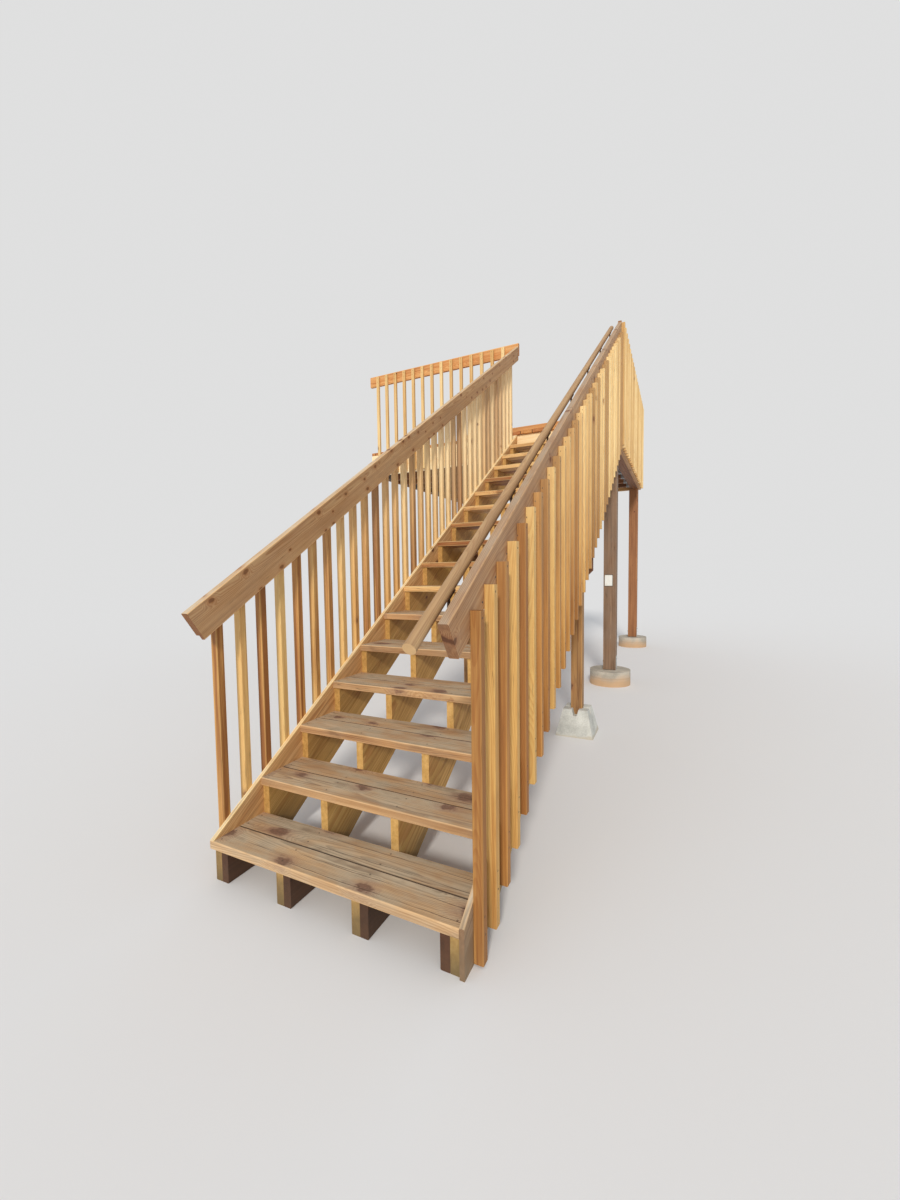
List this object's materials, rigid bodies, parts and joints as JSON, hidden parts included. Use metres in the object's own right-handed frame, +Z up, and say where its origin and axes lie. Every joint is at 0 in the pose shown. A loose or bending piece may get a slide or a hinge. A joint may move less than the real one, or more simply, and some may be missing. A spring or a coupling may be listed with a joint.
{
  "type": "deck stairs",
  "caption": "Open-riser timber stair on cut stringers with balustrades and a round handrail, climbing to a raised, railed deck on posts and round footings.",
  "frame": {"origin": "middle of the outer face of the ledger board, where the deck is fixed to a wall", "axes": "+X away from the wall and across the flight, +Y along the wall and up the flight, +Z up"},
  "size_m": [3.5115, 7.9077, 4.142],
  "materials": {
    "stringer_timber": "satin",
    "treated_timber": "matte",
    "tread_timber": "matte",
    "skirt_timber": "satin",
    "post_timber": "matte",
    "deck_timber": "matte",
    "rail_timber": "satin",
    "baluster_timber": "satin",
    "handrail_timber": "satin",
    "bracket_metal": "satin",
    "galvanised_steel": "satin",
    "concrete": "matte"
  },
  "bodies": {
    "root": {"stringer_1": "stringer_timber", "stringer_2": "stringer_timber", "stringer_3": "stringer_timber", "stringer_4": "stringer_timber", "foot_blocks": "treated_timber", "tread_01": "tread_timber", "tread_02": "tread_timber", "tread_03": "tread_timber", "tread_04": "tread_timber", "tread_05": "tread_timber", "tread_06": "tread_timber", "tread_07": "tread_timber", "tread_08": "tread_timber", "tread_09": "tread_timber", "tread_10": "tread_timber", "tread_11": "tread_timber", "tread_12": "tread_timber", "tread_13": "tread_timber", "tread_14": "tread_timber", "tread_15": "tread_timber", "tread_16": "tread_timber", "skirt_left": "skirt_timber", "skirt_right": "skirt_timber", "mid_beam": "treated_timber", "mid_post_left": "post_timber", "mid_post_right": "post_timber", "pier_block_left": "concrete", "pier_block_right": "concrete", "rim_front": "stringer_timber", "rim_right": "stringer_timber", "rim_rear": "stringer_timber", "ledger": "treated_timber", "deck_beam": "treated_timber", "joists": "treated_timber", "deck_boards": "deck_timber", "post_near": "post_timber", "post_far": "post_timber", "post_bases": "galvanised_steel", "footing_near": "concrete", "footing_far": "concrete", "rail_left": "rail_timber", "rail_right": "rail_timber", "balusters_left": "baluster_timber", "balusters_right": "baluster_timber", "handrail": "handrail_timber", "handrail_brackets": "bracket_metal", "guard_rail_front": "rail_timber", "guard_rail_right": "rail_timber", "guard_rail_rear": "rail_timber", "guard_balusters_front": "baluster_timber", "guard_balusters_right": "baluster_timber", "guard_balusters_rear": "baluster_timber"}
  },
  "joints": []
}
